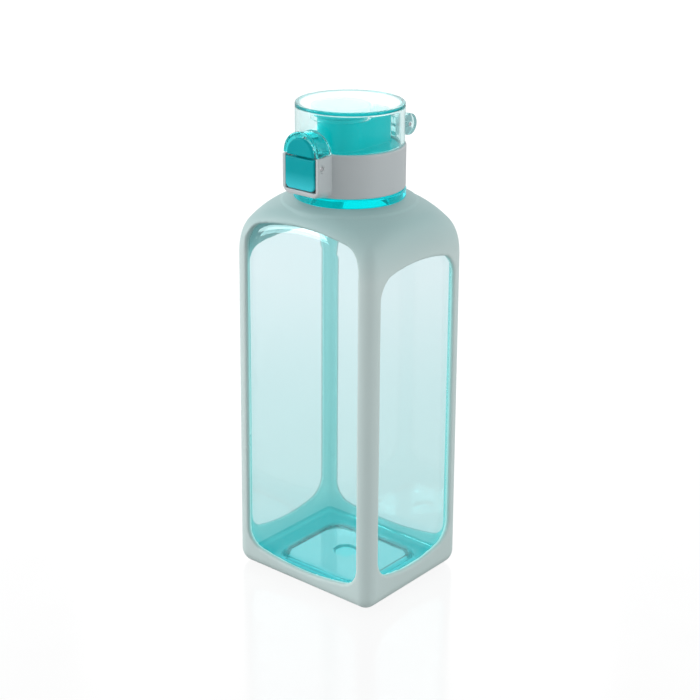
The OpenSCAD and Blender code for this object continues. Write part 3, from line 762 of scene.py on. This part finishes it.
def woundTree():
    # springs and threads: a round wire along a spiral, with a straight leg at each end if asked
    group = bpy.data.node_groups.new("woundPiece", "GeometryNodeTree")
    face = group.interface
    face.new_socket("Geometry", in_out="OUTPUT", socket_type="NodeSocketGeometry")
    for name, kind in (("Radius", "Float"), ("Rise", "Float"), ("Turns", "Float"), ("Wire", "Float"),
                       ("Steps", "Int"), ("Turn", "Vector"), ("Place", "Vector"),
                       ("First leg", "Vector"), ("Last leg", "Vector"), ("Legs", "Bool"),
                       ("Wire sides", "Int"), ("Finish", "Material")):
        face.new_socket(name, in_out="INPUT", socket_type="NodeSocket" + kind)
    tree = Tree(group)
    given = group.nodes.new("NodeGroupInput")
    value = {s.name: Sock(tree, s) for s in given.outputs if s.name}
    spiral = tree.add("GeometryNodeCurveSpiral", None, value["Steps"], value["Turns"], value["Radius"],
                      value["Radius"], value["Rise"], True)
    ring = tree.add("GeometryNodeCurvePrimitiveCircle", {"mode": "RADIUS"},
                    Resolution=value["Wire sides"], Radius=value["Wire"])
    wire = tree.add("GeometryNodeTransform", None, Geometry=spiral, Translation=value["Place"],
                    Rotation=value["Turn"])
    coil = tree.add("GeometryNodeCurveToMesh", None, Curve=wire, Profile_Curve=ring, Fill_Caps=True)
    position = tree.add("GeometryNodeInputPosition")
    joined = group.nodes.new("GeometryNodeJoinGeometry")
    tree.feed(joined.inputs[0], coil)
    for index, leg in ((0, "First leg"), (value["Steps"] * value["Turns"], "Last leg")):
        start = tree.add("GeometryNodeSampleIndex", {"data_type": "FLOAT_VECTOR"}, Geometry=wire,
                         Value=position, Index=index)
        line = tree.add("GeometryNodeCurvePrimitiveLine", {"mode": "POINTS"}, Start=start,
                        End=value[leg])
        tree.feed(joined.inputs[0], tree.add("GeometryNodeCurveToMesh", None, Curve=line,
                                             Profile_Curve=ring, Fill_Caps=True))
    whole = tree.add("GeometryNodeSwitch", {"input_type": "GEOMETRY"}, Switch=value["Legs"],
                     False_=coil, True_=Sock(tree, joined.outputs[0]))
    smooth = tree.add("GeometryNodeSetShadeSmooth", None, whole)
    real = tree.add("GeometryNodeRealizeInstances", None, smooth)
    painted = tree.add("GeometryNodeSetMaterial", None, Geometry=real, Material=value["Finish"])
    end = group.nodes.new("NodeGroupOutput")
    tree.feed(end.inputs[0], painted)
    return group


wound = woundTree()
lengths = ("Radius", "Rise", "Wire", "Place", "First leg", "Last leg")


def addWound(name, sizes, finish, bodyName, nodes):
    holder = bpy.data.objects.new(name, bpy.data.meshes.new(name))
    bpy.context.scene.collection.objects.link(holder)
    modifier = holder.modifiers.new("wind", "NODES")
    modifier.node_group = wound
    sockets = {s.name: s.identifier for s in wound.interface.items_tree if s.in_out == "INPUT"}
    for key, value in sizes.items():
        modifier[sockets[key]] = (np.array(value) * mm).tolist() if key in lengths else value
    modifier[sockets["Finish"]] = finishes[finish]
    bpy.context.view_layer.update()
    graph = bpy.context.evaluated_depsgraph_get()
    mesh = bpy.data.meshes.new_from_object(holder.evaluated_get(graph))
    holder.modifiers.clear()
    mesh.transform(Matrix.Translation((0, 0, lift * mm)))
    holder.data = mesh
    mesh.name = name
    declare(holder, bodyName, nodes)
    return holder


quarter = math.pi / 2
latchCoil = {"Radius": 2.0, "Rise": 5.3, "Turns": 5.0, "Wire": 0.3, "Wire sides": 10, "Steps": 24,
             "Turn": (quarter, 0, 0), "Place": (0.0, -24.75, 185.6)}
lidCoil = {"Radius": 2.6, "Rise": 4.1, "Turns": 4.5, "Wire": 0.35, "Wire sides": 10, "Steps": 24,
           "Turn": (0, quarter, 0), "Place": (-2.05, collar["hingeY"], collar["hingeZ"]),
           "Legs": True, "First leg": (-2.05, 24.2, 197.1), "Last leg": (2.05, 23.2, 202.3)}
neckRidge = {"Radius": 19.6, "Rise": 8.0, "Turns": 2.0, "Wire": 0.85, "Wire sides": 10, "Steps": 64,
             "Turn": (0, 0, 0), "Place": (0.0, 0.0, 180.0)}
capRidge = {"Radius": 21.1, "Rise": 6.0, "Turns": 1.5, "Wire": 0.85, "Wire sides": 10, "Steps": 64,
            "Turn": (0, 0, 0), "Place": (0.0, 0.0, 182.0)}
latchSpring = addWound("latchSpring", latchCoil, "steel", "cap", ["latch_spring"])
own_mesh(latchSpring)
addWound("lidSpring", lidCoil, "steel", "cap", ["lid_spring"])
addWound("neckThread", neckRidge, "body", "bottle", [])
addWound("capThread", capRidge, "spout", "cap", [])

# The two small seals keep their solids
for node in ("neck_gasket", "vent_valve"):
    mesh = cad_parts[node].data
    for index in range(len(mesh.materials)):
        mesh.materials[index] = finishes["seal"]
print("cap done")

# Floor, light and camera, in metres
stage = {"floorSize": 6.0, "floorLight": 0.6, "floorPaintedShade": 0.42, "floorRough": 0.5,
         "floorWay": (-0.94, -0.34, 0.0), "floorFrom": 0.2, "floorOver": 0.6, "through": 1.0,
         "glow": 0.9, "glossRough": 0.12, "glossIor": 1.33, "grainScale": 30.0,
         "grainDark": 0.03, "grainLight": 0.05, "darkWay": (0.24, -0.6, 0.76), "darkFrom": 0.1,
         "darkOver": 0.6, "front": 0.5, "aim": (0.0, 0.0, 0.12)}
half = stage["floorSize"] / 2
corners = [(-half, -half, 0), (half, -half, 0), (half, half, 0), (-half, half, 0)]
floorMesh = bpy.data.meshes.new("studioFloor")
floorMesh.from_pydata(corners, [], [(0, 1, 2, 3)])
floor = bpy.data.objects.new("studioFloor", floorMesh)
bpy.context.scene.collection.objects.link(floor)


def shadeToward(tree, way, goal, start, over):
    # 0 to 1 as the direction turns towards goal
    unit = tree.add("ShaderNodeVectorMath", {"operation": "NORMALIZE"}, way)
    along = tree.add("ShaderNodeVectorMath", {"operation": "DOT_PRODUCT"}, unit, goal)
    return along.other("Value").share(start, over)


def grey(tone):
    return (tone, tone, tone)


floorFinish, tree, where = newFinish("paleFloor")
# painted shade: for bounce light the floor is darker towards floorWay
shade = shadeToward(tree, where, stage["floorWay"], stage["floorFrom"], stage["floorOver"])
tone = tree.blend(shade, grey(stage["floorLight"]), grey(stage["floorPaintedShade"]))
lit = principled(tree, {"Roughness": stage["floorRough"]}, Base_Color=tone)
grain = tree.noise(where, stage["grainScale"])
mottled = tree.blend(grain, grey(stage["grainDark"]), grey(stage["grainLight"]))
shown = principled(tree, {"Roughness": stage["glossRough"], "IOR": stage["glossIor"],
                          "Emission Strength": stage["glow"], "Emission Color": (1, 1, 1, 1)},
                   Base_Color=mottled)
path = tree.add("ShaderNodeLightPath")
through = tree.add("ShaderNodeEmission", None, (1, 1, 1, 1), stage["through"])
behind = tree.add("ShaderNodeMixShader", None, path.other("Is Transmission Ray"), lit, through)
output(tree, tree.add("ShaderNodeMixShader", None, path.other("Is Camera Ray"), behind, shown))
floorMesh.materials.append(floorFinish)

world = bpy.data.worlds.new("studio")
bpy.context.scene.world = world
world.use_nodes = True
sky = Tree(world.node_tree)
sky.tree.nodes.clear()
way = sky.add("ShaderNodeTexCoord").other("Generated")
shade = shadeToward(sky, way, stage["darkWay"], stage["darkFrom"], stage["darkOver"])
bright = 1.0 - shade * (1.0 - stage["front"])
path = sky.add("ShaderNodeLightPath")
direct = sky.calc("MAXIMUM", path.other("Is Camera Ray"), path.other("Is Transmission Ray"))
glow = sky.add("ShaderNodeBackground", None, (1, 1, 1, 1), sky.calc("MAXIMUM", bright, direct))
sky.feed(sky.tree.nodes.new("ShaderNodeOutputWorld").inputs["Surface"], glow)

softboxes = {"leftBox": {"place": (-1.35, -1.25, 0.55), "size": (1.0, 0.8), "power": 20.0},
             "rightBox": {"place": (0.9, 0.15, 0.45), "size": (0.5, 0.9), "power": 2.0},
             "backBox": {"place": (-0.78, 0.94, 0.66), "size": (0.7, 0.5), "power": 0.6}}
for name, box in softboxes.items():
    lamp = bpy.data.lights.new(name, "AREA")
    lamp.shape = "RECTANGLE"
    lamp.size, lamp.size_y = box["size"]
    lamp.energy = box["power"]
    holder = bpy.data.objects.new(name, lamp)
    holder.location = box["place"]
    aim = Vector(stage["aim"]) - Vector(box["place"])
    holder.rotation_euler = aim.to_track_quat("-Z", "Y").to_euler()
    bpy.context.scene.collection.objects.link(holder)

cameraSpot = {"place": (0.4190, -0.5042, 0.3607), "azimuth": 39.73, "pitch": 21.30, "roll": 0.361,
              "lens": 81.92, "sensor": 36.0, "shiftX": 0.00201, "shiftY": -0.00001, "near": 0.01,
              "far": 20.0}
turn, tilt, roll = [math.radians(cameraSpot[k]) for k in ("azimuth", "pitch", "roll")]
ahead = Vector((-math.sin(turn) * math.cos(tilt), math.cos(turn) * math.cos(tilt), -math.sin(tilt)))
right = ahead.cross(Vector((0, 0, 1))).normalized()
up = right.cross(ahead)
right, up = right * math.cos(roll) + up * math.sin(roll), up * math.cos(roll) - right * math.sin(roll)
facing = Matrix((right, up, -ahead)).transposed().to_4x4()
lens = bpy.data.cameras.new("studioCamera")
lens.sensor_width = cameraSpot["sensor"]
lens.lens = cameraSpot["lens"]
lens.shift_x, lens.shift_y = cameraSpot["shiftX"], cameraSpot["shiftY"]
lens.clip_start, lens.clip_end = cameraSpot["near"], cameraSpot["far"]
camera = bpy.data.objects.new("studioCamera", lens)
camera.matrix_world = Matrix.Translation(cameraSpot["place"]) @ facing
bpy.context.scene.collection.objects.link(camera)
bpy.context.scene.camera = camera
bpy.context.scene.view_settings.view_transform = "Standard"
bounces = {"max_bounces": 32, "glossy_bounces": 20, "transmission_bounces": 32,
           "transparent_max_bounces": 32, "diffuse_bounces": 4}
for key, value in bounces.items():
    setattr(bpy.context.scene.cycles, key, value)
print("stage ready")
